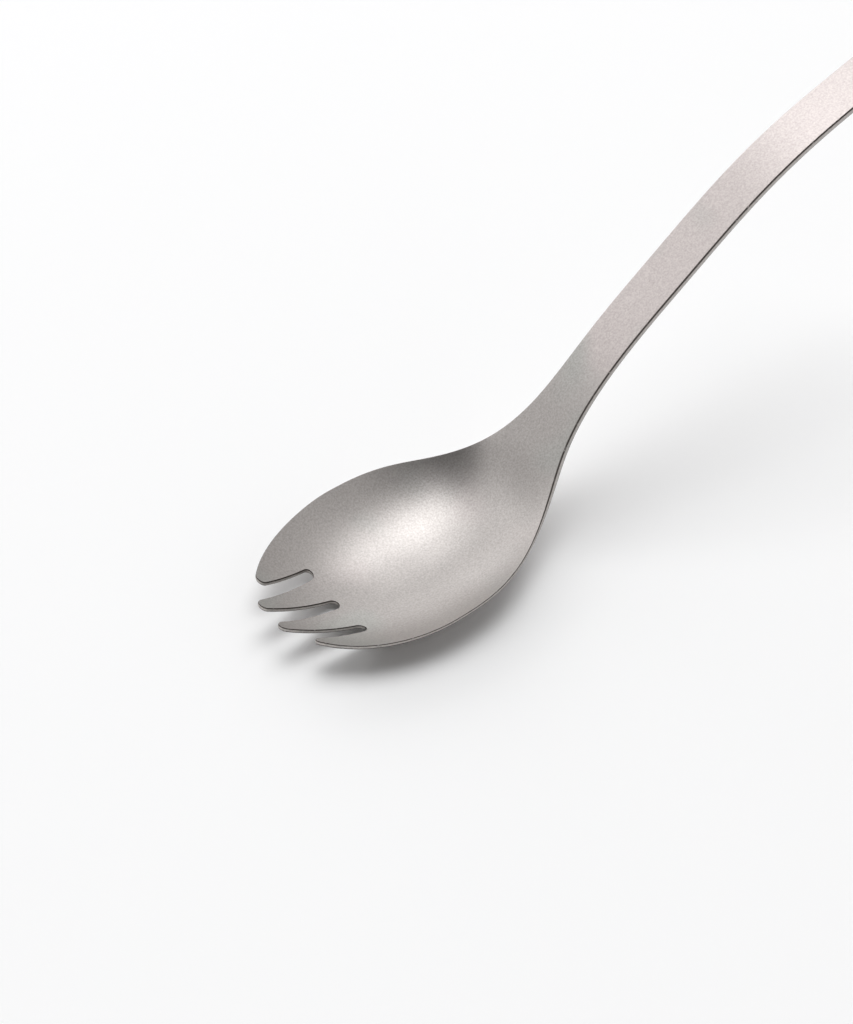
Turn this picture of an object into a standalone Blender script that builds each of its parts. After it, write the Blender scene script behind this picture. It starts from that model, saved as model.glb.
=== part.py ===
"""A spork pressed from one sheet of titanium.

Metres, +Z up. The blank is laid out flat, by its developed length (0 at the tips of the
middle tines) and its width (y, 0 on the centre line). It is slotted into four tines, pressed
into a bowl, bent along its length, given its thickness, and set down the way it lies on a
table: on the heel of the bowl and on the end of the handle, which points along +X.
"""

import math

import bmesh
import bpy
from mathutils import Vector

# Sheet, which the press draws thinner where it makes the bowl
SHEET_THICKNESS = 0.0015
BOWL_THICKNESS = 0.0009
ARRIS_WIDTH = 0.00015

# Outline of the blank
BOWL_WIDTH = 0.038
NOSE_LENGTH = 0.0265
SHOULDER_LENGTH = 0.0285
HANDLE_WIDTH = 0.0087
NOSE_ROUNDNESS_SHARE = 1.8
SHOULDER_ROUNDNESS_SHARE = 2.7

# Slots between the tines
SLOT_LENGTH = 0.015
SLOT_PITCH = 0.0079
SLOT_ROOT_WIDTH = 0.0022
MIDDLE_MOUTH_WIDTH = 0.0038
OUTER_MOUTH_WIDTH = 0.0033
SLOT_LEAN = math.radians(9.0)
MIDDLE_TINE_SETBACK = 0.0001
OUTER_TINE_SETBACK = 0.0037
TIP_STRETCH_SHARE = 1.2

# Hollow of the bowl
BOWL_DEPTH = 0.0070
BOWL_FLATNESS_SHARE = 2.3
HEEL_LENGTH = 0.035
HEEL_FLATNESS_SHARE = 2.8
HEEL_ROUNDNESS_SHARE = 2.6
NOSE_RIM_SHARE = 0.05

# Bends along the sheet: the length of each stretch after the nose
BOWL_LEVEL_LENGTH = 0.0145
NECK_BEND_LENGTH = 0.0215
CREST_LENGTH = 0.006
SHOULDER_BEND_LENGTH = 0.029
STRAP_LENGTH = 0.008
GRIP_BEND_LENGTH = 0.042
GRIP_LENGTH = 0.0245

# Bends along the sheet: its slope against the rim of the bowl
NOSE_SLOPE = math.radians(-10.0)
BOWL_SLOPE = math.radians(-1.5)
CREST_SLOPE = math.radians(46.0)
STRAP_SLOPE = math.radians(34.5)
GRIP_SLOPE = math.radians(16.0)

# Fineness of the mesh
COLUMNS_PER_TINE = 5
ROOT_ROWS = 3
TINE_ROWS = 6
TIP_ROWS = 3
HANDLE_END_ROWS = 5
STEPS_PER_ROW = 12
TIP_STEPS = 40
TANGENT_STEP = 0.00001
WELD_DISTANCE = 0.000001
SHARP_ANGLE = math.radians(40.0)

# Each stretch: its length, the slopes it runs between, and its rows of faces
STRETCHES = (
    (NOSE_LENGTH, NOSE_SLOPE, BOWL_SLOPE, 18),
    (BOWL_LEVEL_LENGTH, BOWL_SLOPE, BOWL_SLOPE, 10),
    (NECK_BEND_LENGTH, BOWL_SLOPE, CREST_SLOPE, 18),
    (CREST_LENGTH, CREST_SLOPE, CREST_SLOPE, 4),
    (SHOULDER_BEND_LENGTH, CREST_SLOPE, STRAP_SLOPE, 14),
    (STRAP_LENGTH, STRAP_SLOPE, STRAP_SLOPE, 3),
    (GRIP_BEND_LENGTH, STRAP_SLOPE, GRIP_SLOPE, 16),
    (GRIP_LENGTH, GRIP_SLOPE, GRIP_SLOPE, 4),
)


def blank_length():
    """The whole developed length, from the middle tine tips to the end of the handle."""
    return sum(length for length, _, _, _ in STRETCHES)


def ease(share):
    """A smooth ramp from 0 to 1."""
    share = min(max(share, 0.0), 1.0)
    return share * share * (3.0 - 2.0 * share)


def half_width(along):
    """Half the width of the blank: an egg-shaped bowl that draws in to a parallel strap."""
    bowl = BOWL_WIDTH / 2
    handle = HANDLE_WIDTH / 2
    if along < NOSE_LENGTH:
        forward = (NOSE_LENGTH - along) / NOSE_LENGTH
        return bowl * math.sqrt(max(1.0 - forward ** NOSE_ROUNDNESS_SHARE, 0.0))
    back = (along - NOSE_LENGTH) / SHOULDER_LENGTH
    return handle + (bowl - handle) * math.exp(-back ** SHOULDER_ROUNDNESS_SHARE)


def slot_half_width(along, mouth_width):
    """Half the width of a slot: a round root that opens into gently flaring sides."""
    root = SLOT_ROOT_WIDTH / 2
    mouth = mouth_width / 2
    side_start = SLOT_LENGTH - root
    if along > side_start:
        return math.sqrt(max(root ** 2 - (along - side_start) ** 2, 0.0))
    return root + (mouth - root) * (side_start - along) / side_start


def outer_slot_centre(along):
    """The centre line of an outer slot, which leans towards the middle at its mouth."""
    return SLOT_PITCH - math.tan(SLOT_LEAN) * (SLOT_LENGTH - along)


def middle_tine(along):
    """The inner and outer edge of a middle tine."""
    inner = slot_half_width(along, MIDDLE_MOUTH_WIDTH)
    return inner, outer_slot_centre(along) - slot_half_width(along, OUTER_MOUTH_WIDTH)


def outer_tine(along):
    """The inner and outer edge of an outer tine."""
    return outer_slot_centre(along) + slot_half_width(along, OUTER_MOUTH_WIDTH), half_width(along)


def round_end(across, forward):
    """Maps a half square onto a half disc, so that rows of faces fill a round end."""
    return (
        across * math.sqrt(1.0 - forward ** 2 / 2),
        forward * math.sqrt(1.0 - across ** 2 / 2),
    )


def even_shares(count):
    """Places from 0 to 1 with equal steps."""
    return [index / count for index in range(count + 1)]


def round_tip(edges, tip):
    """The circle that touches both edges of a tine and its tip, with lengths squeezed.

    Squeezed lengths are divided by the tip's stretch, so the circle stands for the long
    oval of the tip. Returns its centre, its radius and the directions to where it touches
    the inner and the outer edge.
    """
    radius = SLOT_ROOT_WIDTH / 2
    feet = [tip + radius, tip + radius]
    for _ in range(TIP_STEPS):
        centre = tip / TIP_STRETCH_SHARE + radius
        places, slopes = [], []
        for side, foot in enumerate(feet):
            rise = edges(foot + TANGENT_STEP)[side] - edges(foot - TANGENT_STEP)[side]
            slopes.append(rise / (2 * TANGENT_STEP) * TIP_STRETCH_SHARE)
            places.append(edges(foot)[side] + slopes[side] * (centre - foot / TIP_STRETCH_SHARE))
        inner_run, outer_run = [math.hypot(1.0, slope) for slope in slopes]
        radius = (places[1] - places[0]) / (inner_run + outer_run)
        feet = [
            (centre + radius * slopes[0] / inner_run) * TIP_STRETCH_SHARE,
            (centre - radius * slopes[1] / outer_run) * TIP_STRETCH_SHARE,
        ]
    directions = math.atan2(-1.0, -slopes[0]), math.atan2(1.0, slopes[1])
    return (centre, places[0] + radius * inner_run), radius, directions


def tip_rows(edges, tip, across_shares):
    """Rows of blank points for the round tip of a tine; the last is the two spokes to its sides."""
    (centre, middle), radius, (first, last) = round_tip(edges, tip)
    rows = []
    for forward in reversed(even_shares(TIP_ROWS)):
        row = []
        for across in across_shares:
            sideways, ahead = round_end(across, forward)
            reach = radius * math.hypot(sideways, ahead)
            turn = first + (last - first) * (math.atan2(sideways, ahead) / math.pi + 0.5)
            along = (centre - reach * math.cos(turn)) * TIP_STRETCH_SHARE
            row.append((along, middle + reach * math.sin(turn)))
        rows.append(row)
    return rows


def between(first, last, share):
    """The point at a share of the way from one point to another."""
    return tuple(a + (b - a) * share for a, b in zip(first, last))


def tine_rows(edges, tip):
    """Rows of blank points for one tine on the +y side, from its round tip to the slot root."""
    columns = even_shares(COLUMNS_PER_TINE)
    rows = tip_rows(edges, tip, [2 * column - 1 for column in columns])
    spokes = rows[-1]
    root = SLOT_ROOT_WIDTH / 2
    side_end = SLOT_LENGTH - root
    for share in even_shares(TINE_ROWS)[1:]:
        inner = spokes[0][0] + (side_end - spokes[0][0]) * share
        outer = spokes[-1][0] + (side_end - spokes[-1][0]) * share
        ends = (inner, edges(inner)[0]), (outer, edges(outer)[1])
        row = []
        for column, spoke in zip(columns, spokes):
            straight = between(spokes[0], spokes[-1], column)
            point = between(*ends, column)
            fade = (1.0 - share) ** 2
            row.append(tuple(p + (a - b) * fade for p, a, b in zip(point, spoke, straight)))
        rows.append(row)
    for share in even_shares(ROOT_ROWS)[1:]:
        along = side_end + root * math.sin(share * math.pi / 2)
        inner, outer = edges(along)
        rows.append([between((along, inner), (along, outer), column) for column in columns])
    return rows


def mirrored(rows):
    """The same rows on the -y side."""
    return [[(along, -across) for along, across in reversed(row)] for row in rows]


def body_places():
    """Developed lengths of the rows from the slot roots to where the handle rounds off."""
    end = blank_length() - HANDLE_WIDTH / 2
    places = [SLOT_LENGTH]
    start = 0.0
    for length, _, _, rows in STRETCHES:
        for share in even_shares(rows)[1:]:
            place = start + length * share
            spacing = length / rows
            if places[-1] + spacing / 2 < place < end - spacing / 2:
                places.append(place)
        start += length
    return places + [end]


def body_rows(root_row):
    """Rows of blank points from the slot roots to the round end of the handle."""
    across_shares = [across / half_width(SLOT_LENGTH) for _, across in root_row]
    places = body_places()
    rows = [root_row]
    for along in places[1:]:
        rows.append([(along, share * half_width(along)) for share in across_shares])
    radius = half_width(places[-1])
    for forward in even_shares(HANDLE_END_ROWS)[1:]:
        row = []
        for share in across_shares:
            sideways, ahead = round_end(share, forward)
            row.append((places[-1] + radius * ahead, radius * sideways))
        rows.append(row)
    return rows


class Bend:
    """The sheet seen from the side: where each developed length comes to lie, and its slope."""

    def __init__(self):
        self.knots = [(0.0, 0.0, 0.0, NOSE_SLOPE)]
        for length, slope_from, slope_to, rows in STRETCHES:
            self.add_stretch(length, slope_from, slope_to, rows * STEPS_PER_ROW)

    def add_stretch(self, length, slope_from, slope_to, steps):
        """Follows one stretch in short chords, easing from one slope to the next."""
        step = length / steps
        for index in range(steps):
            along, x, z, _ = self.knots[-1]
            middle = slope_from + (slope_to - slope_from) * ease((index + 0.5) / steps)
            ahead = slope_from + (slope_to - slope_from) * ease((index + 1) / steps)
            x += step * math.cos(middle)
            z += step * math.sin(middle)
            self.knots.append((along + step, x, z, ahead))

    def at(self, along):
        """The x, the z and the slope at a developed length."""
        low, high = 0, len(self.knots) - 1
        while high - low > 1:
            middle = (low + high) // 2
            if self.knots[middle][0] <= along:
                low = middle
            else:
                high = middle
        first, last = self.knots[low], self.knots[high]
        share = (along - first[0]) / (last[0] - first[0])
        return [a + (b - a) * share for a, b in zip(first[1:], last[1:])]


def hollow(along, across):
    """How far the press pushes the sheet down below the line of the rim."""
    if along < NOSE_LENGTH:
        forward = (NOSE_LENGTH - along) / NOSE_LENGTH
        sideways = (abs(across) / (BOWL_WIDTH / 2)) ** BOWL_FLATNESS_SHARE
        narrowing = max(1.0 - forward ** NOSE_ROUNDNESS_SHARE, NOSE_RIM_SHARE)
        sideways *= narrowing ** (1.0 - BOWL_FLATNESS_SHARE / 2)
        return BOWL_DEPTH * (1.0 - forward ** 2 - sideways)
    back = min((along - NOSE_LENGTH) / HEEL_LENGTH, 1.0)
    sideways = min(abs(across) / half_width(along), 1.0) ** BOWL_FLATNESS_SHARE
    floor = (1.0 - back ** HEEL_FLATNESS_SHARE) ** HEEL_ROUNDNESS_SHARE
    return BOWL_DEPTH * floor * (1.0 - sideways)


def thinning(along):
    """The share of its thickness that the sheet keeps in the press."""
    bowl_share = BOWL_THICKNESS / SHEET_THICKNESS
    return bowl_share + (1.0 - bowl_share) * ease((along - NOSE_LENGTH) / HEEL_LENGTH)


def pressed(bend, along, across, up):
    """Where a point of the flat blank lies once it is pressed and bent."""
    x, z, slope = bend.at(along)
    depth = hollow(along, across) - up * thinning(along)
    return Vector((x + math.sin(slope) * depth, across, z - math.cos(slope) * depth))


def resting_pitch(bend):
    """The turn about Y that lays the bowl's heel and the handle's end on one level."""
    end = pressed(bend, blank_length(), 0.0, -SHEET_THICKNESS)
    slopes = []
    for along in body_places()[:-1]:
        point = pressed(bend, along, 0.0, -SHEET_THICKNESS)
        if point.x < end.x:
            slopes.append(math.atan2(end.z - point.z, end.x - point.x))
    return max(slopes)


def add_grid(mesh, rows):
    """Adds flat quads between rows of blank points, with their tops up."""
    grid = [[mesh.verts.new((along, across, 0.0)) for along, across in row] for row in rows]
    for near, far in zip(grid, grid[1:]):
        for column in range(len(near) - 1):
            mesh.faces.new((near[column], far[column], far[column + 1], near[column + 1]))


def flat_blank():
    """The slotted blank, flat on z = 0: four tines and the body, welded at the slot roots."""
    inner = tine_rows(middle_tine, MIDDLE_TINE_SETBACK)
    outer = tine_rows(outer_tine, OUTER_TINE_SETBACK)
    tines = [mirrored(outer), mirrored(inner), inner, outer]
    root_row = tines[0][-1][:-1] + tines[1][-1][:-1] + tines[2][-1][:-1] + tines[3][-1]
    mesh = bmesh.new()
    for rows in tines:
        add_grid(mesh, rows)
    add_grid(mesh, body_rows(root_row))
    bmesh.ops.remove_doubles(mesh, verts=mesh.verts, dist=WELD_DISTANCE)
    return mesh


def pressed_sheet(bend):
    """Thickens the flat blank downwards and presses every point of it to shape."""
    mesh = flat_blank()
    bmesh.ops.solidify(mesh, geom=mesh.faces[:], thickness=SHEET_THICKNESS)
    top = max(vertex.co.z for vertex in mesh.verts)
    for vertex in mesh.verts:
        along, across, height = vertex.co
        vertex.co = pressed(bend, along, across, height - top)
    bmesh.ops.recalc_face_normals(mesh, faces=mesh.faces)
    data = bpy.data.meshes.new("spork")
    mesh.to_mesh(data)
    mesh.free()
    return data


def blasted_titanium():
    """Warm grey titanium with an even, matte, bead-blasted skin."""
    material = bpy.data.materials.new("blasted_titanium")
    material.use_nodes = True
    shader = material.node_tree.nodes["Principled BSDF"]
    shader.inputs["Base Color"].default_value = (0.42, 0.395, 0.375, 1.0)
    shader.inputs["Metallic"].default_value = 1.0
    shader.inputs["Roughness"].default_value = 0.42
    return material


def break_edges(spork):
    """Tumbles the sharp edges off all round."""
    arris = spork.modifiers.new("arris", "BEVEL")
    arris.width = ARRIS_WIDTH
    arris.segments = 1
    arris.limit_method = "ANGLE"
    arris.angle_limit = SHARP_ANGLE
    arris.use_clamp_overlap = False


def set_down(spork, bend):
    """Lays the spork on the table and centres its box on the origin."""
    spork.rotation_euler.y = resting_pitch(bend)
    bpy.context.view_layer.update()
    evaluated = spork.evaluated_get(bpy.context.evaluated_depsgraph_get())
    points = [spork.matrix_world @ vertex.co for vertex in evaluated.data.vertices]
    lowest = Vector([min(point[axis] for point in points) for axis in range(3)])
    highest = Vector([max(point[axis] for point in points) for axis in range(3)])
    centre = (lowest + highest) / 2
    spork.location = (-centre.x, -centre.y, -lowest.z)
    bpy.context.view_layer.update()


def build():
    """Makes the spork."""
    for item in list(bpy.data.objects):
        bpy.data.objects.remove(item, do_unlink=True)
    bend = Bend()
    data = pressed_sheet(bend)
    data.materials.append(blasted_titanium())
    data.shade_smooth()
    data.set_sharp_from_angle(angle=SHARP_ANGLE)
    spork = bpy.data.objects.new("spork", data)
    bpy.context.scene.collection.objects.link(spork)
    break_edges(spork)
    set_down(spork, bend)


build()
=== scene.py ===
"""A spork of bead-blasted titanium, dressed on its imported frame.

The spork is one sheet. It is laid out flat as a blank with tumbled arrises, by its developed
length (0 just ahead of the middle tines) and its width, and a Geometry Nodes tree presses that
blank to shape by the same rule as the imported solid. The pressed sheet is then laid where the
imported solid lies. Lengths are in metres and angles in radians, but the camera's lens and sensor
are in millimetres.
"""

from __future__ import annotations

import logging
import math
from dataclasses import dataclass, field
from enum import Enum
from typing import Iterable, Sequence, Union

import bmesh
import bpy
import numpy as np
from mathutils import Matrix, Vector

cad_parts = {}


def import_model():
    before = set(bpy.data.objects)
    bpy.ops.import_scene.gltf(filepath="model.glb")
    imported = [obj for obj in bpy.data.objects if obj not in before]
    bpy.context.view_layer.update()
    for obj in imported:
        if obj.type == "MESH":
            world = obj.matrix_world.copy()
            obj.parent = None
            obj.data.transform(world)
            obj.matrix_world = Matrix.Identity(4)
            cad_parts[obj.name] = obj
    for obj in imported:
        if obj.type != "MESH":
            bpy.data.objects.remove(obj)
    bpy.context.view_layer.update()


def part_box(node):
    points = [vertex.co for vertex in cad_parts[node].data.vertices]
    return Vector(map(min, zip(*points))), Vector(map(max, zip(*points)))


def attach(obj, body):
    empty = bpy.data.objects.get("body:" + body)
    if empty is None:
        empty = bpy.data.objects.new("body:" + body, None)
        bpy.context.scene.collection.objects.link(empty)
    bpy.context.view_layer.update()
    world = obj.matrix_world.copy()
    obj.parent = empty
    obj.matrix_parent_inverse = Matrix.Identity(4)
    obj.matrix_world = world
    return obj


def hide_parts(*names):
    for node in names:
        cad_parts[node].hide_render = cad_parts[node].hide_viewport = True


LOG = logging.getLogger("spork")
MILLIMETRE = 0.001
WHITE = (1.0, 1.0, 1.0, 1.0)
# The colour sockets of a Mix node, which share their names with its other sockets
MIX_FIRST = 6
MIX_SECOND = 7
MIX_RESULT = 2
NOISE_MEAN = 0.5

Point = tuple[float, float]
Span = tuple[float, float]
Place = tuple[float, float, float]
Colour = tuple[float, float, float]
Value = Union["Signal", float, int, tuple]


class Signal:
    """One socket of a node tree that takes part in sums.

    Args:
        bench: The bench that adds the nodes of the sums.
        socket: The output socket that carries the value.
    """

    def __init__(self, bench: "Bench", socket: bpy.types.NodeSocket) -> None:
        self.bench = bench
        self.socket = socket

    def __add__(self, other: Value) -> "Signal":
        """Adds a value."""
        return self.bench.maths("ADD", self, other)

    def __radd__(self, other: Value) -> "Signal":
        """Adds this to a value."""
        return self.bench.maths("ADD", other, self)

    def __sub__(self, other: Value) -> "Signal":
        """Takes a value away."""
        return self.bench.maths("SUBTRACT", self, other)

    def __rsub__(self, other: Value) -> "Signal":
        """Takes this away from a value."""
        return self.bench.maths("SUBTRACT", other, self)

    def __mul__(self, other: Value) -> "Signal":
        """Multiplies by a value."""
        return self.bench.maths("MULTIPLY", self, other)

    def __rmul__(self, other: Value) -> "Signal":
        """Multiplies a value by this."""
        return self.bench.maths("MULTIPLY", other, self)

    def __truediv__(self, other: Value) -> "Signal":
        """Divides by a value."""
        return self.bench.maths("DIVIDE", self, other)

    def __pow__(self, other: Value) -> "Signal":
        """Raises to a power."""
        return self.bench.maths("POWER", self, other)

    def __neg__(self) -> "Signal":
        """Turns the sign round."""
        return self.bench.maths("MULTIPLY", self, -1.0)

    def __abs__(self) -> "Signal":
        """Drops the sign."""
        return self.bench.maths("ABSOLUTE", self)

    def at_least(self, floor: Value) -> "Signal":
        """The greater of this and a value."""
        return self.bench.maths("MAXIMUM", self, floor)

    def at_most(self, ceiling: Value) -> "Signal":
        """The smaller of this and a value."""
        return self.bench.maths("MINIMUM", self, ceiling)


class Bench:
    """Adds nodes to one tree, sets them and wires them together.

    Args:
        tree: The node tree, of a material, a world or a geometry modifier.
    """

    def __init__(self, tree: bpy.types.NodeTree) -> None:
        self.tree = tree

    def add(
        self,
        kind: str,
        inputs: dict[Union[int, str], Value] | None = None,
        out: Union[int, str] = 0,
        **settings: object,
    ) -> Signal:
        """Adds a node.

        Args:
            kind: The node's type.
            inputs: Values or signals for its sockets, by name or by number.
            out: The name or number of the output that is wanted.
            settings: The node's own properties.

        Returns:
            The wanted output.
        """
        node = self.tree.nodes.new(kind)
        for name, setting in settings.items():
            setattr(node, name, setting)
        for key, value in (inputs or {}).items():
            self.put(node.inputs[key], value)
        return Signal(self, node.outputs[out])

    def put(self, socket: bpy.types.NodeSocket, value: Value) -> None:
        """Links a signal to a socket, or sets the socket to a plain value.

        Args:
            socket: The input socket.
            value: The signal or the plain value.
        """
        if isinstance(value, Signal):
            self.tree.links.new(value.socket, socket)
        else:
            socket.default_value = value

    def maths(self, operation: str, *values: Value) -> Signal:
        """Adds one Math node.

        Args:
            operation: The node's operation.
            values: Its values, in order.

        Returns:
            The result.
        """
        return self.add("ShaderNodeMath", dict(enumerate(values)), operation=operation)

    def join(self, x: Value, y: Value, z: Value) -> Signal:
        """Makes one vector of three values."""
        return self.add("ShaderNodeCombineXYZ", {0: x, 1: y, 2: z})

    def split(self, vector: Signal) -> tuple[Signal, Signal, Signal]:
        """Takes a vector apart.

        Args:
            vector: The vector.

        Returns:
            Its x, y and z.
        """
        node = self.tree.nodes.new("ShaderNodeSeparateXYZ")
        self.put(node.inputs[0], vector)
        return tuple(Signal(self, output) for output in node.outputs)

    def ease(
        self,
        value: Value,
        start: Value,
        end: Value,
        low: Value = 0.0,
        high: Value = 1.0,
    ) -> Signal:
        """A smooth step.

        Args:
            value: Where on the way the step is read.
            start: Where the step starts.
            end: Where it ends.
            low: Its height before the start.
            high: Its height after the end.

        Returns:
            The height at the value.
        """
        inputs = dict(enumerate((value, start, end, low, high)))
        return self.add("ShaderNodeMapRange", inputs, interpolation_type="SMOOTHSTEP")

    def mix(self, share: Value, first: Value, second: Value) -> Signal:
        """Mixes two colours.

        Args:
            share: The share of the second colour.
            first: The first colour.
            second: The second colour.

        Returns:
            The mixed colour.
        """
        inputs = {0: share, MIX_FIRST: first, MIX_SECOND: second}
        return self.add("ShaderNodeMix", inputs, out=MIX_RESULT, data_type="RGBA")


def linked(name: str, data: bpy.types.ID) -> bpy.types.Object:
    """Adds an object to the scene.

    Args:
        name: Its name.
        data: Its mesh, lamp or camera.

    Returns:
        The object.
    """
    thing = bpy.data.objects.new(name, data)
    bpy.context.scene.collection.objects.link(thing)
    return thing


def square(name: str, side: float, pose: Matrix) -> bpy.types.Object:
    """Adds a square sheet without thickness to the scene.

    Args:
        name: Its name.
        side: The length of its sides.
        pose: Its pose, with the sheet in the XY plane.

    Returns:
        The sheet, still without a material.
    """
    half = side / 2
    ends = [(-half, -half, 0.0), (half, -half, 0.0), (half, half, 0.0), (-half, half, 0.0)]
    data = bpy.data.meshes.new(name)
    data.from_pydata(ends, [], [(0, 1, 2, 3)])
    data.transform(pose)
    return linked(name, data)


@dataclass(frozen=True)
class Stretch:
    """One stretch of the sheet, which eases from one slope to the next."""

    name: str
    length: float
    slope: float
    rows: int


@dataclass(frozen=True)
class Outline:
    """The edge of the flat blank: an egg-shaped bowl on a parallel strap."""

    bowl_width: float = 0.038
    nose_length: float = 0.0265
    shoulder_length: float = 0.0285
    handle_width: float = 0.0087
    nose_roundness: float = 1.8
    shoulder_roundness: float = 2.7

    def half_width(self, along: float) -> float:
        """Half the width of the blank.

        Args:
            along: The developed length.

        Returns:
            Half the width there.
        """
        bowl, handle = self.bowl_width / 2, self.handle_width / 2
        if along < self.nose_length:
            forward = (self.nose_length - along) / self.nose_length
            return bowl * math.sqrt(max(1.0 - forward**self.nose_roundness, 0.0))
        back = (along - self.nose_length) / self.shoulder_length
        return handle + (bowl - handle) * math.exp(-(back**self.shoulder_roundness))


class Tine(Enum):
    """The two kinds of tine on each side of the centre line, with their tips' setbacks."""

    MIDDLE = 0.0001
    OUTER = 0.0037


@dataclass(frozen=True)
class Slots:
    """The three slots between the tines; the outer two lean inwards at their mouths."""

    outline: Outline
    length: float = 0.015
    pitch: float = 0.0079
    root_width: float = 0.0022
    middle_mouth: float = 0.0038
    outer_mouth: float = 0.0033
    lean: float = math.radians(9.0)

    def half_width(self, along: float, mouth_width: float) -> float:
        """Half the width of a slot.

        Args:
            along: The developed length.
            mouth_width: The width of the slot's mouth.

        Returns:
            Half the width there: round at the root, then gently flaring.
        """
        root, mouth = self.root_width / 2, mouth_width / 2
        side_start = self.length - root
        if along > side_start:
            return math.sqrt(max(root**2 - (along - side_start) ** 2, 0.0))
        return root + (mouth - root) * (side_start - along) / side_start

    def edges(self, tine: Tine, along: float) -> Point:
        """The inner and the outer edge of a tine on the +y side.

        Args:
            tine: Which tine.
            along: The developed length.

        Returns:
            The distances of both edges from the centre line.
        """
        outer_slot = self.pitch - math.tan(self.lean) * (self.length - along)
        gap = self.half_width(along, self.outer_mouth)
        if tine is Tine.MIDDLE:
            return self.half_width(along, self.middle_mouth), outer_slot - gap
        return outer_slot + gap, self.outline.half_width(along)


def shares(count: int) -> list[float]:
    """Places from 0 to 1 with equal steps.

    Args:
        count: The number of steps.

    Returns:
        The places, one more than the steps.
    """
    return [index / count for index in range(count + 1)]


def round_end(across: float, forward: float) -> Point:
    """Maps a half square onto a half disc, so that rows of faces fill a round end.

    Args:
        across: The place across the square, -1 to 1.
        forward: The place ahead, 0 to 1.

    Returns:
        The place across and ahead on the disc.
    """
    return (
        across * math.sqrt(1.0 - forward**2 / 2),
        forward * math.sqrt(1.0 - across**2 / 2),
    )


@dataclass(frozen=True)
class RoundTip:
    """The round end of a tine: a circle that touches both edges, drawn out lengthwise.

    The centre and the directions are taken with lengths along divided by the stretch, where
    the end is part of a true circle.
    """

    centre: Point
    radius: float
    first: float
    last: float
    stretch: float = 1.2

    @classmethod
    def fitted(cls, slots: Slots, tine: Tine, tries: int = 40) -> "RoundTip":
        """Fits the end of a tine between its edges.

        Args:
            slots: The slots that leave the tine standing.
            tine: Which tine.
            tries: How often the fit is renewed.

        Returns:
            The fitted end.
        """
        step = MILLIMETRE / 100
        radius = slots.root_width / 2
        feet = [tine.value + radius, tine.value + radius]
        for _ in range(tries):
            centre = tine.value / cls.stretch + radius
            slopes, places = [], []
            for side, foot in enumerate(feet):
                rise = slots.edges(tine, foot + step)[side] - slots.edges(tine, foot - step)[side]
                slopes.append(rise / (2 * step) * cls.stretch)
                place = slots.edges(tine, foot)[side]
                places.append(place + slopes[side] * (centre - foot / cls.stretch))
            inner_run, outer_run = (math.hypot(1.0, slope) for slope in slopes)
            radius = (places[1] - places[0]) / (inner_run + outer_run)
            feet = [
                (centre + radius * slopes[0] / inner_run) * cls.stretch,
                (centre - radius * slopes[1] / outer_run) * cls.stretch,
            ]
        middle = places[0] + radius * inner_run
        first = math.atan2(-1.0, -slopes[0])
        last = math.atan2(1.0, slopes[1])
        return cls((centre, middle), radius, first, last)

    def point(self, across: float, forward: float) -> Point:
        """One point of the end.

        Args:
            across: The place across the tine, -1 to 1.
            forward: The place ahead, 0 where the end meets the tine's edges, 1 at the tip.

        Returns:
            The point of the blank.
        """
        sideways, ahead = round_end(across, forward)
        reach = self.radius * math.hypot(sideways, ahead)
        share = math.atan2(sideways, ahead) / math.pi + 0.5
        turn = self.first + (self.last - self.first) * share
        along = (self.centre[0] - reach * math.cos(turn)) * self.stretch
        return along, self.centre[1] + reach * math.sin(turn)


@dataclass(frozen=True)
class Gauge:
    """How thick the sheet is: the press draws it thinner where it makes the bowl."""

    sheet: float = 0.0015
    bowl: float = 0.0009
    nose_length: float = 0.0265
    heel_length: float = 0.035

    def kept(self, along: np.ndarray) -> np.ndarray:
        """The share of its thickness that the sheet keeps in the press.

        Args:
            along: Developed lengths.

        Returns:
            The share at each.
        """
        way = np.clip((along - self.nose_length) / self.heel_length, 0.0, 1.0)
        share = self.bowl / self.sheet
        return share + (1.0 - share) * way * way * (3.0 - 2.0 * way)


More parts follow.
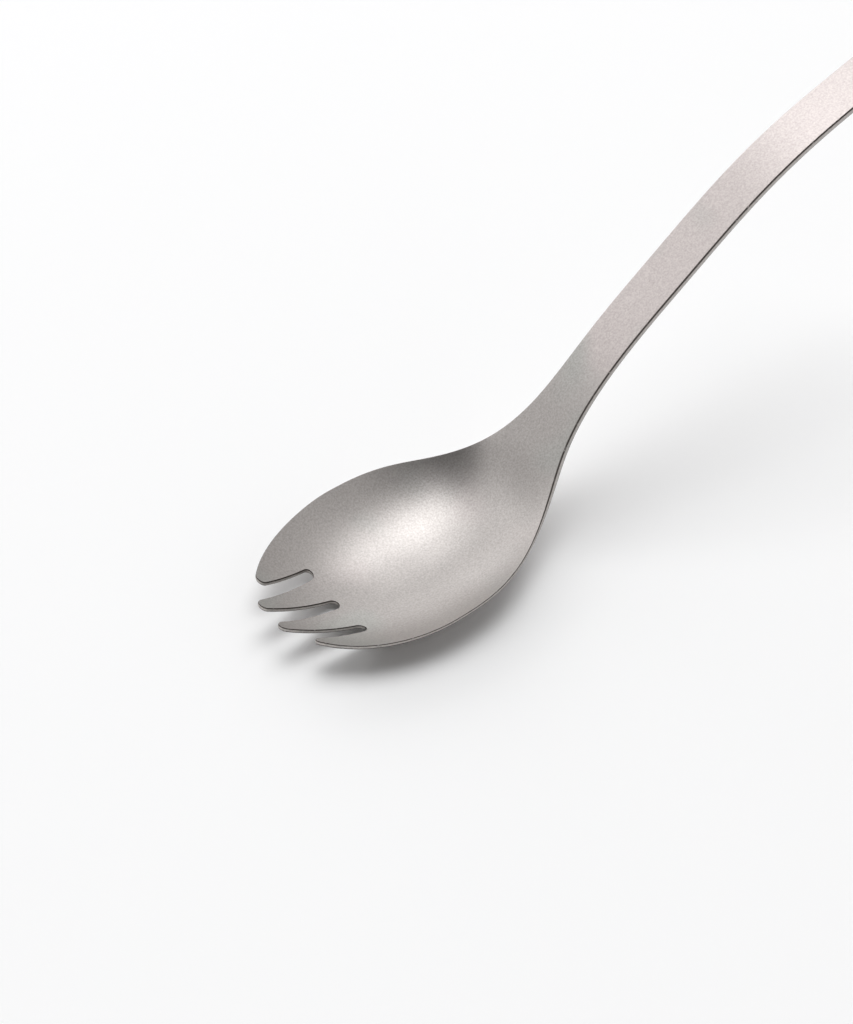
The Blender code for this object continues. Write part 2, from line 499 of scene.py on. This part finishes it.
@dataclass
class Blank:
    """The flat blank: a sheet with slotted tines and tumbled arrises along all its edges.

    The flat of each face ends arris_margin short of its arris, and the points of the face that
    are nearer to an edge than arris_reach are drawn in to make room.
    """

    outline: Outline
    slots: Slots
    gauge: Gauge
    stretches: Sequence[Stretch]
    arris_width: float = 0.00016
    arris_depth: float = 0.00038
    arris_margin: float = 0.00005
    arris_reach: float = 0.002
    arris_steps: int = 5
    wall_places: tuple[float, ...] = (0.1, 0.5, 0.9)
    weld_distance: float = MILLIMETRE / 1000
    tine_columns: int = 8
    tip_rows: int = 6
    tine_rows: int = 16
    root_rows: int = 6
    end_rows: int = 8

    @property
    def length(self) -> float:
        """The whole developed length."""
        return sum(stretch.length for stretch in self.stretches)

    def tine_points(self, tine: Tine) -> list[list[Point]]:
        """Rows of points of one tine on the +y side.

        Args:
            tine: Which tine.

        Returns:
            The rows, from the round tip to the slot root.
        """
        columns = np.array(shares(self.tine_columns))
        tip = RoundTip.fitted(self.slots, tine)
        rows = []
        for forward in reversed(shares(self.tip_rows)):
            rows.append([tip.point(2 * column - 1, forward) for column in columns])
        spokes = np.array(rows[-1])
        bow = spokes - self.across(spokes[0], spokes[-1], columns)
        root = self.slots.root_width / 2
        side_end = self.slots.length - root
        for share in shares(self.tine_rows)[1:]:
            inner, outer = spokes[[0, -1], 0] * (1.0 - share) + side_end * share
            first = inner, self.slots.edges(tine, inner)[0]
            last = outer, self.slots.edges(tine, outer)[1]
            row = self.across(first, last, columns) + bow * (1.0 - share) ** 2
            rows.append([tuple(point) for point in row])
        for share in shares(self.root_rows)[1:]:
            along = side_end + root * math.sin(share * math.pi / 2)
            inner, outer = self.slots.edges(tine, along)
            row = self.across((along, inner), (along, outer), columns)
            rows.append([tuple(point) for point in row])
        return rows

    @staticmethod
    def across(first: Sequence[float], last: Sequence[float], columns: np.ndarray) -> np.ndarray:
        """A straight row of points.

        Args:
            first: The first point.
            last: The last point.
            columns: The places on the way from the one to the other, 0 to 1.

        Returns:
            The points.
        """
        return np.array(first) + np.outer(columns, np.subtract(last, first))

    def body_places(self) -> list[float]:
        """Places the rows from the slot roots to the round end of the handle.

        Returns:
            Their developed lengths.
        """
        end = self.length - self.outline.handle_width / 2
        places = [self.slots.length]
        start = 0.0
        for stretch in self.stretches:
            spacing = stretch.length / stretch.rows
            for share in shares(stretch.rows)[1:]:
                place = start + stretch.length * share
                if places[-1] + spacing / 2 < place < end - spacing / 2:
                    places.append(place)
            start += stretch.length
        return places + [end]

    def body_points(self, root_row: list[Point]) -> list[list[Point]]:
        """Rows of points from the slot roots to the end of the handle.

        Args:
            root_row: The row that the four tines end in.

        Returns:
            The rows, that one first.
        """
        root_half = self.outline.half_width(self.slots.length)
        across_shares = [across / root_half for _, across in root_row]
        places = self.body_places()
        rows = [root_row]
        for along in places[1:]:
            half = self.outline.half_width(along)
            rows.append([(along, share * half) for share in across_shares])
        radius = self.outline.half_width(places[-1])
        for forward in shares(self.end_rows)[1:]:
            row = []
            for share in across_shares:
                sideways, ahead = round_end(share, forward)
                row.append((places[-1] + radius * ahead, radius * sideways))
            rows.append(row)
        return rows

    @staticmethod
    def mirrored(rows: list[list[Point]]) -> list[list[Point]]:
        """The same rows on the -y side."""
        return [[(along, -across) for along, across in reversed(row)] for row in rows]

    def top_face(self) -> bmesh.types.BMesh:
        """Lays out the top of the blank, welded at the slot roots.

        Returns:
            One flat mesh of quads.
        """
        inner = self.tine_points(Tine.MIDDLE)
        outer = self.tine_points(Tine.OUTER)
        tines = [self.mirrored(outer), self.mirrored(inner), inner, outer]
        root_row = [point for rows in tines[:-1] for point in rows[-1][:-1]] + tines[-1][-1]
        mesh = bmesh.new()
        for rows in [*tines, self.body_points(root_row)]:
            grid = [[mesh.verts.new((*point, 0.0)) for point in row] for row in rows]
            for near, far in zip(grid, grid[1:]):
                for column in range(len(near) - 1):
                    mesh.faces.new((near[column], far[column], far[column + 1], near[column + 1]))
        bmesh.ops.remove_doubles(mesh, verts=mesh.verts, dist=self.weld_distance)
        return mesh

    @staticmethod
    def edge_loop(mesh: bmesh.types.BMesh) -> list[int]:
        """The numbers of the points along the blank's edge.

        Args:
            mesh: The top of the blank.

        Returns:
            The numbers in order, anticlockwise seen from above.
        """
        following = {}
        for edge in mesh.edges:
            if edge.is_boundary:
                loop = edge.link_loops[0]
                following[loop.vert.index] = loop.link_loop_next.vert.index
        start = min(following)
        order = [start]
        while following[order[-1]] != start:
            order.append(following[order[-1]])
        return order

    def arris_profile(self) -> list[tuple[float, float, float]]:
        """The section of the blank's edge: a chamfer with soft corners, the wall, a chamfer.

        Returns:
            For each step the inset, the height and the share of the arris there.
        """
        depth, foot = self.arris_depth, self.gauge.sheet - self.arris_depth
        profile = []
        for share in shares(self.arris_steps):
            left = math.cos(share * math.pi / 2) ** 2
            inset, height = self.arris_width * left, (left - 1.0) * depth
            profile.append((inset, height, math.sin(share * math.pi)))
        for share in self.wall_places:
            profile.append((0.0, -depth - (foot - depth) * share, 0.0))
        for inset, height, arris in profile[self.arris_steps::-1]:
            profile.append((inset, -self.gauge.sheet - height, arris))
        return profile

    def slab(self) -> bpy.types.Mesh:
        """The whole blank as a closed mesh, flat on its top at z = 0, with its edges tumbled.

        Returns:
            The mesh, which carries the attributes arris and wall.
        """
        top = self.top_face()
        top.verts.index_update()
        order = self.edge_loop(top)
        faces = [[vertex.index for vertex in face.verts] for face in top.faces]
        points = np.array([vertex.co[:2] for vertex in top.verts])
        top.free()
        count = len(points)
        edge = points[order]
        outward = self.outward(edge)
        inner = self.drawn_in(points, order, outward)
        faces += [[index + count for index in reversed(face)] for face in faces]
        places = [
            np.column_stack([inner, np.zeros(count)]),
            np.column_stack([inner, np.full(count, -self.gauge.sheet)]),
        ]
        arris = [np.zeros(2 * count)]
        wall = [np.zeros(2 * count)]
        # The rings of points run from the edge of the top face down to that of the lower face
        inward = outward * self.gauge.kept(edge[:, :1])
        rings = [np.array(order)]
        for inset, height, share in self.arris_profile():
            rings.append(sum(len(place) for place in places) + np.arange(len(order)))
            places.append(np.column_stack([edge - inset * inward, np.full(len(order), height)]))
            arris.append(np.full(len(order), share))
            wall.append(np.full(len(order), 1.0 - inset / self.arris_width))
        rings.append(np.array(order) + count)
        for upper, under in zip(rings, rings[1:]):
            for a, b, c, d in zip(upper, under, np.roll(under, -1), np.roll(upper, -1)):
                faces.append([int(a), int(b), int(c), int(d)])
        data = bpy.data.meshes.new("blank")
        data.from_pydata(np.concatenate(places).tolist(), [], faces)
        for name, values in (("arris", arris), ("wall", wall)):
            attribute = data.attributes.new(name, "FLOAT", "POINT")
            attribute.data.foreach_set("value", np.concatenate(values))
        data.shade_smooth()
        return data

    @staticmethod
    def outward(edge: np.ndarray) -> np.ndarray:
        """The outward directions along the blank's edge.

        Args:
            edge: The points of the edge, anticlockwise seen from above.

        Returns:
            The direction at each point.
        """
        run = np.roll(edge, -1, 0) - np.roll(edge, 1, 0)
        run /= np.linalg.norm(run, axis=1)[:, None]
        return np.stack([run[:, 1], -run[:, 0]], 1)

    def drawn_in(self, points: np.ndarray, order: list[int], outward: np.ndarray) -> np.ndarray:
        """Draws the points of a face in from its edge, to make room for the arris.

        Args:
            points: The points of the face.
            order: The numbers of those on its edge.
            outward: The outward directions at those.

        Returns:
            The drawn-in points.
        """
        edge = points[order]
        margin = self.arris_width + self.arris_margin
        following = np.roll(edge, -1, 0)
        along = following - edge
        result = points.copy()
        inside = np.setdiff1d(np.arange(len(points)), order)
        for index in inside:
            offset = points[index] - edge
            share = np.clip((offset * along).sum(1) / (along**2).sum(1), 0.0, 1.0)
            gap = offset - share[:, None] * along
            distance = np.hypot(gap[:, 0], gap[:, 1])
            nearest = int(distance.argmin())
            if distance[nearest] < self.arris_reach:
                fade = (1.0 - distance[nearest] / self.arris_reach) ** 2
                inset = margin * self.gauge.kept(points[index, 0])
                result[index] += gap[nearest] / distance[nearest] * inset * fade
        result[order] = edge - margin * self.gauge.kept(edge[:, :1]) * outward
        return result


@dataclass
class Press:
    """The press: a Geometry Nodes tree that bends the flat blank and pushes the bowl into it.

    While the tree is wired, size holds the tree's inputs by name. In the tree's rule, along is
    the developed length of a point of the blank and across its distance from the centre line.
    """

    outline: Outline
    gauge: Gauge
    stretches: Sequence[Stretch]
    first_slope: float = math.radians(-10.0)
    bowl_depth: float = 0.0070
    bowl_flatness: float = 2.3
    heel_flatness: float = 2.8
    heel_roundness: float = 2.6
    nose_rim: float = 0.05
    knots: int = 1600
    sockets: dict[str, float] = field(default_factory=dict)
    finish_socket: str = ""
    bench: Bench = field(init=False)
    size: dict[str, Signal] = field(init=False)

    def tree(self) -> bpy.types.NodeTree:
        """Builds the tree, with a named input for every size.

        Returns:
            The finished tree.
        """
        tree = bpy.data.node_groups.new("press", "GeometryNodeTree")
        interface = tree.interface
        interface.new_socket("Geometry", in_out="INPUT", socket_type="NodeSocketGeometry")
        interface.new_socket("Geometry", in_out="OUTPUT", socket_type="NodeSocketGeometry")
        sizes = {
            "Bowl width": self.outline.bowl_width,
            "Handle width": self.outline.handle_width,
            "Nose length": self.outline.nose_length,
            "Shoulder length": self.outline.shoulder_length,
            "Nose roundness": self.outline.nose_roundness,
            "Shoulder roundness": self.outline.shoulder_roundness,
            "Sheet thickness": self.gauge.sheet,
            "Bowl thickness": self.gauge.bowl,
            "Bowl depth": self.bowl_depth,
            "Bowl flatness": self.bowl_flatness,
            "Heel length": self.gauge.heel_length,
            "Heel flatness": self.heel_flatness,
            "Heel roundness": self.heel_roundness,
            "Nose rim": self.nose_rim,
            "First slope": self.first_slope,
        }
        for stretch in self.stretches:
            sizes[f"{stretch.name} length"] = stretch.length
            sizes[f"{stretch.name} slope"] = stretch.slope
        for name, value in sizes.items():
            socket = interface.new_socket(name, in_out="INPUT", socket_type="NodeSocketFloat")
            self.sockets[socket.identifier] = value
        finish = interface.new_socket("Finish", in_out="INPUT", socket_type="NodeSocketMaterial")
        self.finish_socket = finish.identifier
        self.bench = Bench(tree)
        given = tree.nodes.new("NodeGroupInput")
        self.size = {output.name: Signal(self.bench, output) for output in given.outputs}
        self.wire()
        return tree

    def wire(self) -> None:
        """Wires the rule of the press."""
        bench, size = self.bench, self.size
        along, across, up = bench.split(bench.add("GeometryNodeInputPosition"))
        x, z = self.side_view(along)
        slope = self.slope(along)
        depth = self.hollow(along, abs(across)) - up * self.thinning(along)
        place = bench.join(
            x + bench.maths("SINE", slope) * depth,
            across,
            z - bench.maths("COSINE", slope) * depth,
        )
        blank = {"Geometry": size["Geometry"], "Position": place}
        pressed = bench.add("GeometryNodeSetPosition", blank)
        real = bench.add("GeometryNodeRealizeInstances", {"Geometry": pressed})
        bare = {"Geometry": real, "Material": size["Finish"]}
        dressed = bench.add("GeometryNodeSetMaterial", bare)
        result = bench.tree.nodes.new("NodeGroupOutput")
        bench.put(result.inputs[0], dressed)

    def slope(self, along: Signal) -> Signal:
        """The slope of the sheet, eased from stretch to stretch.

        Args:
            along: The developed length.

        Returns:
            The slope, in radians.
        """
        slope = self.size["First slope"]
        before = self.size["First slope"]
        start: Value = 0.0
        for stretch in self.stretches:
            after = self.size[f"{stretch.name} slope"]
            end = start + self.size[f"{stretch.name} length"]
            if stretch.slope != self.slope_before(stretch):
                slope = slope + self.bench.ease(along, start, end) * (after - before)
            before, start = after, end
        return slope

    def slope_before(self, stretch: Stretch) -> float:
        """The slope that a stretch starts from."""
        place = list(self.stretches).index(stretch)
        return self.stretches[place - 1].slope if place else self.first_slope

    def side_view(self, along: Signal) -> tuple[Signal, Signal]:
        """Follows the sheet in short chords, as seen from the side.

        Args:
            along: The developed length.

        Returns:
            The x and the z of the sheet's line at that length.
        """
        bench = self.bench
        length: Value = 0.0
        for stretch in self.stretches:
            length = length + self.size[f"{stretch.name} length"]
        line = bench.add("GeometryNodeMeshLine", {"Count": self.knots + 1})
        number = bench.add("GeometryNodeInputIndex")
        step = length / float(self.knots)
        middle = self.slope((number + 0.5) * step)
        run = bench.maths("COSINE", middle) * step
        rise = bench.maths("SINE", middle) * step
        chord = bench.join(run, 0.0, rise)
        place = bench.add(
            "GeometryNodeAccumulateField",
            {0: chord},
            out="Trailing",
            data_type="FLOAT_VECTOR",
        )
        bent = bench.add("GeometryNodeSetPosition", {"Geometry": line, "Position": place})
        curve = bench.add("GeometryNodeMeshToCurve", {"Mesh": bent})
        found = bench.add(
            "GeometryNodeSampleCurve",
            {"Curves": curve, "Length": along},
            out="Position",
            mode="LENGTH",
            use_all_curves=True,
        )
        x, _, z = bench.split(found)
        return x, z

    def hollow(self, along: Signal, across: Signal) -> Signal:
        """How far the press pushes the sheet down below the line of the rim.

        Args:
            along: The developed length.
            across: The distance from the centre line.

        Returns:
            The depth.
        """
        bench, size = self.bench, self.size
        bowl, handle = size["Bowl width"] / 2.0, size["Handle width"] / 2.0
        flatness = size["Bowl flatness"]
        past = along - size["Nose length"]
        forward = (-past).at_least(0.0) / size["Nose length"]
        narrowing = (1.0 - forward ** size["Nose roundness"]).at_least(size["Nose rim"])
        sideways = (across / bowl) ** flatness * narrowing ** (1.0 - flatness / 2.0)
        nose = 1.0 - forward * forward - sideways
        rise = (past.at_least(0.0) / size["Shoulder length"]) ** size["Shoulder roundness"]
        width = handle + (bowl - handle) * bench.maths("EXPONENT", -rise)
        back = (past.at_least(0.0) / size["Heel length"]).at_most(1.0)
        floor = (1.0 - back ** size["Heel flatness"]) ** size["Heel roundness"]
        heel = floor * (1.0 - (across / width).at_most(1.0) ** flatness)
        behind = bench.maths("GREATER_THAN", past, 0.0)
        return size["Bowl depth"] * (nose + behind * (heel - nose))

    def thinning(self, along: Signal) -> Signal:
        """The share of its thickness that the sheet keeps in the press.

        Args:
            along: The developed length.

        Returns:
            The share.
        """
        kept = self.size["Bowl thickness"] / self.size["Sheet thickness"]
        nose = self.size["Nose length"]
        return self.bench.ease(along, nose, nose + self.size["Heel length"], kept, 1.0)

    def apply(
        self,
        blank: bpy.types.Mesh,
        finish: bpy.types.Material,
        name: str,
    ) -> bpy.types.Object:
        """Presses a blank.

        Args:
            blank: The flat blank.
            finish: The material it gets.
            name: The name of the pressed piece.

        Returns:
            The pressed piece, as a plain mesh without modifiers.
        """
        work = linked("pressing", blank)
        modifier = work.modifiers.new("press", "NODES")
        modifier.node_group = self.tree()
        for identifier, value in self.sockets.items():
            modifier[identifier] = value
        modifier[self.finish_socket] = finish
        graph = bpy.context.evaluated_depsgraph_get()
        data = bpy.data.meshes.new_from_object(work.evaluated_get(graph))
        bpy.data.objects.remove(work)
        data.name = name
        return linked(name, data)


@dataclass(frozen=True)
class Noise:
    """An even noise, by the size of its largest grains and the number of finer levels."""

    size: float
    detail: float

    def read(self, bench: Bench, place: Signal) -> Signal:
        """Adds the noise to a material.

        Args:
            bench: The bench of the tree.
            place: Where the noise is read.

        Returns:
            The noise, with its mean at NOISE_MEAN.
        """
        inputs = {"Vector": place, "Scale": 1.0 / self.size, "Detail": self.detail}
        return bench.add("ShaderNodeTexNoise", inputs)


@dataclass(frozen=True)
class BlastedTitanium:
    """Titanium after the bead blaster: warm grey and matte, with a fine even grain.

    The mesh says where the arris is, which tumbling has worn smoother and along which a speckled
    near-black line is painted as a dark reflection, and where the wall of the sheet is, whose
    lighter speckled tone is a painted reflection of the table. The pink tone, lighter than the
    grey, is partly a real tint and partly a painted highlight along the handle. A span holds the
    two values between which a tone fades in.
    """

    slot: str = "blasted_titanium"
    grey: Colour = (0.3450, 0.3235, 0.3105)
    # Pink tone: partly a real tint, partly a painted highlight, as it is lighter than the grey.
    rosy_and_highlight: Colour = (0.4100, 0.3710, 0.3600)
    sage: Colour = (0.3350, 0.3285, 0.3130)
    # A lighter wall tone: a painted reflection of the table.
    wall_reflection_colour: Colour = (0.4250, 0.3980, 0.3780)
    # A near-black arris line: a painted dark reflection.
    dark_reflection_colour: Colour = (0.0700, 0.0620, 0.0570)
    roughness: float = 0.42
    arris_roughness: float = 0.30
    speck_roughness: float = 0.06
    grain: Noise = Noise(0.00035, 2.0)
    speck: Noise = Noise(0.0009, 3.0)
    cloud: Noise = Noise(0.018, 1.0)
    grain_height: float = 0.000016
    grain_contrast: float = 0.60
    strap_tint_and_highlight_span: Span = (-0.022, -0.006)
    bowl_blush: float = 0.4
    blush_span: Span = (0.58, 0.74)
    sage_span: Span = (0.44, 0.30)
    wall_light_span: Span = (0.6, 1.0)
    wall_light_specks: Span = (0.25, 0.55)
    dark_line_span: Span = (0.05, 0.50)
    dark_line_specks: Span = (0.20, 0.40)

    def material(self) -> bpy.types.Material:
        """Builds the material.

        Returns:
            The material, with the grain in its colour, its roughness and its bump.
        """
        material = bpy.data.materials.new(self.slot)
        material.use_nodes = True
        bench = Bench(material.node_tree)
        shader = material.node_tree.nodes["Principled BSDF"]
        place = bench.add("ShaderNodeTexCoord", out="Object")
        arris = bench.add("ShaderNodeAttribute", out="Fac", attribute_name="arris")
        grain = self.grain.read(bench, place)
        speck = self.speck.read(bench, place)
        tone = self.tone(bench, place, arris, speck)
        level = 1.0 + (grain - NOISE_MEAN) * self.grain_contrast
        colour = bench.add("ShaderNodeVectorMath", {0: tone, "Scale": level}, operation="SCALE")
        bench.put(shader.inputs["Base Color"], colour)
        worn = arris * (self.arris_roughness - self.roughness)
        uneven = (speck - NOISE_MEAN) * self.speck_roughness
        bench.put(shader.inputs["Roughness"], self.roughness + worn + uneven)
        relief = {"Strength": 1.0, "Distance": self.grain_height, "Height": grain}
        bench.put(shader.inputs["Normal"], bench.add("ShaderNodeBump", relief))
        shader.inputs["Metallic"].default_value = 1.0
        return material

    def tone(self, bench: Bench, place: Signal, arris: Signal, speck: Signal) -> Signal:
        """Mixes the tones of the metal.

        Args:
            bench: The bench of the tree.
            place: The place on the spork.
            arris: 0 off the arris and 1 in its middle.
            speck: The noise of the specks.

        Returns:
            The colour, still without its grain.
        """
        wall = bench.add("ShaderNodeAttribute", out="Fac", attribute_name="wall")
        cloud = self.cloud.read(bench, place)
        along, _, _ = bench.split(place)
        bowl_blush = bench.ease(cloud, *self.blush_span) * self.bowl_blush
        # Painted highlight in part: the handle takes the lighter pink tone, which also stands for
        # the brighter light on it.
        blush_and_highlight = bench.ease(along, *self.strap_tint_and_highlight_span).at_least(bowl_blush)
        colour = bench.mix(blush_and_highlight, (*self.grey, 1.0), (*self.rosy_and_highlight, 1.0))
        colour = bench.mix(bench.ease(cloud, *self.sage_span), colour, (*self.sage, 1.0))
        # Painted reflection: the wall is made lighter in specks, as if it mirrored the white
        # table.
        painted_wall_light = bench.ease(wall, *self.wall_light_span) * bench.ease(speck, *self.wall_light_specks)
        colour = bench.mix(painted_wall_light, colour, (*self.wall_reflection_colour, 1.0))
        # Painted dark reflection: a speckled near-black line along the arris.
        painted_dark_line = bench.ease(arris, *self.dark_line_span) * bench.ease(speck, *self.dark_line_specks)
        return bench.mix(painted_dark_line, colour, (*self.dark_reflection_colour, 1.0))


STRETCHES = (
    Stretch("Nose", 0.0265, math.radians(-1.5), 34),
    Stretch("Level", 0.0145, math.radians(-1.5), 18),
    Stretch("Neck bend", 0.0215, math.radians(46.0), 30),
    Stretch("Crest", 0.006, math.radians(46.0), 8),
    Stretch("Shoulder bend", 0.029, math.radians(34.5), 28),
    Stretch("Strap", 0.008, math.radians(34.5), 8),
    Stretch("Grip bend", 0.042, math.radians(16.0), 36),
    Stretch("Grip", 0.0245, math.radians(16.0), 20),
)


@dataclass
class Spork:
    """The spork: its blank, the press that shapes it, and how it lies.

    The part of the handle that can touch the table is end_reach long, and the turn that lays
    the spork down is renewed as many times as settling says.
    """

    node: str = "spork"
    name: str = "spork_sheet"
    finish: BlastedTitanium = field(default_factory=BlastedTitanium)
    outline: Outline = field(default_factory=Outline)
    gauge: Gauge = field(default_factory=Gauge)
    end_reach: float = 0.004
    settling: int = 4
    seat: Matrix = field(default_factory=Matrix)

    def build(self) -> bpy.types.Object:
        """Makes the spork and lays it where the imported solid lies.

        Returns:
            The dressed spork.
        """
        blank = Blank(self.outline, Slots(self.outline), self.gauge, STRETCHES)
        press = Press(self.outline, self.gauge, STRETCHES)
        piece = press.apply(blank.slab(), self.finish.material(), self.name)
        self.seat = self.lying(piece.data)
        piece.data.transform(self.seat)
        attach(piece, "root")
        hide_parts(self.node)
        return piece

    def lying(self, data: bpy.types.Mesh) -> Matrix:
        """Finds how the pressed sheet lies on a table.

        Args:
            data: The pressed sheet, with the rim of its bowl level.

        Returns:
            The turn and the shift that lay it on its heel and on the end of its handle, with
            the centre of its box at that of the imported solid.
        """
        points = np.empty(len(data.vertices) * 3)
        data.vertices.foreach_get("co", points)
        points = points.reshape(-1, 3)
        handle_end = points[points[:, 0] > points[:, 0].max() - self.end_reach]
        heel = points[points[:, 0] < points[:, 0].max() / 2]
        turn = Matrix()
        for _ in range(self.settling):
            foot = handle_end[(handle_end @ np.array(turn.to_3x3()).T)[:, 2].argmin()]
            pitch = np.arctan2(foot[2] - heel[:, 2], foot[0] - heel[:, 0]).max()
            turn = Matrix.Rotation(float(pitch), 4, "Y")
        turned = points @ np.array(turn.to_3x3()).T
        middle = (turned.min(0) + turned.max(0)) / 2
        lowest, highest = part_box(self.node)
        centre = (lowest + highest) / 2
        drop = lowest.z - turned[:, 2].min()
        shift = Vector((centre.x - middle[0], centre.y - middle[1], drop))
        return Matrix.Translation(shift) @ turn


@dataclass(frozen=True)
class SoftBox:
    """A square softbox that faces the spork."""

    name: str
    azimuth: float
    elevation: float
    size: float
    power: float


SOFT_BOXES = (
    SoftBox("overhead", math.radians(45), math.radians(78), 2.25, 42.0),
    SoftBox("overhead_core", math.radians(64), math.radians(83), 1.05, 8.9),
    SoftBox("left", math.radians(135), math.radians(45), 1.8, 10.4),
    SoftBox("far_left", math.radians(95), math.radians(18), 2.4, 17.0),
    SoftBox("far_right", math.radians(60), math.radians(15), 2.4, 18.0),
)


@dataclass
class Studio:
    """The photograph's set: the spork propped nose down on a white table, and the camera.

    In the photograph the handle is held up in the air, so the table here is tilted under the
    spork instead, and the spork keeps the place in which it would lie by itself. The camera
    stands in a frame of its own, because its pose was found with the nose further down.
    """

    nose_down: float = math.radians(4.0)
    lean: float = math.radians(1.1)
    camera_nose_down: float = math.radians(8.5)
    camera_lean: float = math.radians(1.1)
    azimuth: float = math.radians(46.23)
    elevation: float = math.radians(41.847)
    roll: float = math.radians(7.729)
    distance: float = 0.35953
    target: Place = (0.04504, 0.01188, -0.00038)
    focal_length: float = 67.0
    sensor_width: float = 36.0
    clip_start: float = 0.01
    table_side: float = 3.0
    table_colour: Colour = (0.977, 0.970, 0.967)
    room_white: float = 0.94
    room_light: float = 0.49
    lamp_distance: float = 3.0
    lamp_colour: Colour = (0.977, 0.989, 1.0)
    card_azimuth: float = math.radians(216)
    card_elevation: float = math.radians(50)
    card_distance: float = 4.5
    card_side: float = 6.75
    card_black: Colour = (0.02, 0.02, 0.02)
    subject: Place = (0.03, 0.0, 0.0)
    place: Matrix = field(default_factory=Matrix)
    camera_place: Matrix = field(default_factory=Matrix)

    def set_up(self, piece: bpy.types.Object, seat: Matrix) -> None:
        """Builds the set round the spork.

        Args:
            piece: The dressed spork.
            seat: How the spork lies, from the press to the row.
        """
        self.place = self.standing(piece, seat, self.nose_down, self.lean)
        self.camera_place = self.standing(piece, seat, self.camera_nose_down, self.camera_lean)
        self.table()
        self.card()
        for box in SOFT_BOXES:
            self.hang(box)
        self.world()
        self.camera()

    @staticmethod
    def standing(piece: bpy.types.Object, seat: Matrix, nose_down: float, lean: float) -> Matrix:
        """Stands the spork on a level ground with its nose turned down.

        Args:
            piece: The dressed spork.
            seat: How the spork lies, from the press to the row.
            nose_down: How far its nose is turned down.
            lean: How far it leans to one side.

        Returns:
            The pose of that ground in the row.
        """
        turn = Matrix.Rotation(lean, 4, "X") @ Matrix.Rotation(-nose_down, 4, "Y")
        to_ground = turn @ seat.inverted()
        lowest = min((to_ground @ vertex.co).z for vertex in piece.data.vertices)
        LOG.info("the spork reaches %.3f mm below the rim line", -lowest / MILLIMETRE)
        return (Matrix.Translation((0.0, 0.0, -lowest)) @ to_ground).inverted()

    def table(self) -> None:
        """Lays the white table, which isn't there for a look from below."""
        table = square("table", self.table_side, self.place)
        material = bpy.data.materials.new("white_table")
        material.use_nodes = True
        material.node_tree.nodes.clear()
        bench = Bench(material.node_tree)
        white = bench.add("ShaderNodeBsdfDiffuse", {"Color": (*self.table_colour, 1.0)})
        clear = bench.add("ShaderNodeBsdfTransparent")
        under = bench.add("ShaderNodeNewGeometry", out="Backfacing")
        surface = bench.add("ShaderNodeMixShader", {0: under, 1: white, 2: clear})
        end = material.node_tree.nodes.new("ShaderNodeOutputMaterial")
        bench.put(end.inputs["Surface"], surface)
        table.data.materials.append(material)

    def card(self) -> None:
        """Stands a black card behind the camera, which the metal mirrors."""
        pose = self.facing(self.card_azimuth, self.card_elevation, self.card_distance)
        card = square("card", self.card_side, pose)
        material = bpy.data.materials.new("black_card")
        material.use_nodes = True
        shader = material.node_tree.nodes["Principled BSDF"]
        shader.inputs["Base Color"].default_value = (*self.card_black, 1.0)
        shader.inputs["Roughness"].default_value = 1.0
        card.data.materials.append(material)
        card.visible_camera = False

    def hang(self, box: SoftBox) -> None:
        """Hangs one softbox.

        Args:
            box: The softbox.
        """
        lamp = bpy.data.lights.new(box.name, "AREA")
        lamp.size = box.size
        lamp.energy = box.power
        lamp.color = self.lamp_colour
        hung = linked(box.name, lamp)
        hung.matrix_world = self.facing(box.azimuth, box.elevation, self.lamp_distance)

    def facing(self, azimuth: float, elevation: float, distance: float) -> Matrix:
        """The pose of a thing that faces the spork.

        Args:
            azimuth: Its direction round the spork.
            elevation: Its height as an angle over the table.
            distance: How far away it is.

        Returns:
            The pose in the row, with -Z towards the spork.
        """
        level = math.cos(elevation) * distance
        where = Vector(
            (math.cos(azimuth) * level, math.sin(azimuth) * level, math.sin(elevation) * distance)
        )
        turn = (Vector(self.subject) - where).to_track_quat("-Z", "Y").to_matrix().to_4x4()
        return self.place @ Matrix.Translation(where) @ turn

    def world(self) -> None:
        """Fills the room with pale light; the camera and the metal see its walls as white."""
        world = bpy.data.worlds.new("room")
        bpy.context.scene.world = world
        world.use_nodes = True
        bench = Bench(world.node_tree)
        rays = world.node_tree.nodes.new("ShaderNodeLightPath").outputs
        seen = Signal(bench, rays["Is Camera Ray"])
        for name in ("Is Glossy Ray", "Is Transmission Ray"):
            seen = seen.at_least(Signal(bench, rays[name]))
        background = world.node_tree.nodes["Background"]
        background.inputs["Color"].default_value = WHITE
        strength = self.room_light + (self.room_white - self.room_light) * seen
        bench.put(background.inputs["Strength"], strength)

    def camera(self) -> None:
        """Sets the camera at the photograph's viewing angle."""
        ahead = Vector(
            (
                math.cos(self.azimuth) * math.cos(self.elevation),
                math.sin(self.azimuth) * math.cos(self.elevation),
                -math.sin(self.elevation),
            )
        )
        level = Vector((math.sin(self.azimuth), -math.cos(self.azimuth), 0.0))
        upright = level.cross(ahead)
        right = math.cos(self.roll) * level + math.sin(self.roll) * upright
        above = right.cross(ahead)
        pose = Matrix((right, above, -ahead)).transposed().to_4x4()
        pose.translation = Vector(self.target) - ahead * self.distance
        data = bpy.data.cameras.new("camera")
        data.lens = self.focal_length
        data.sensor_width = self.sensor_width
        data.clip_start = self.clip_start
        camera = linked("camera", data)
        camera.matrix_world = self.camera_place @ pose
        bpy.context.scene.camera = camera


def main() -> None:
    """Builds the spork, then the set round it."""
    logging.basicConfig(level=logging.INFO, format="%(name)s: %(message)s")
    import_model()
    bpy.context.scene.view_settings.view_transform = "Standard"
    spork = Spork()
    piece = spork.build()
    LOG.info("%s has %d faces", piece.name, len(piece.data.polygons))
    Studio().set_up(piece, spork.seat)
    LOG.info("the set is ready")


if __name__ == "__main__":
    main()
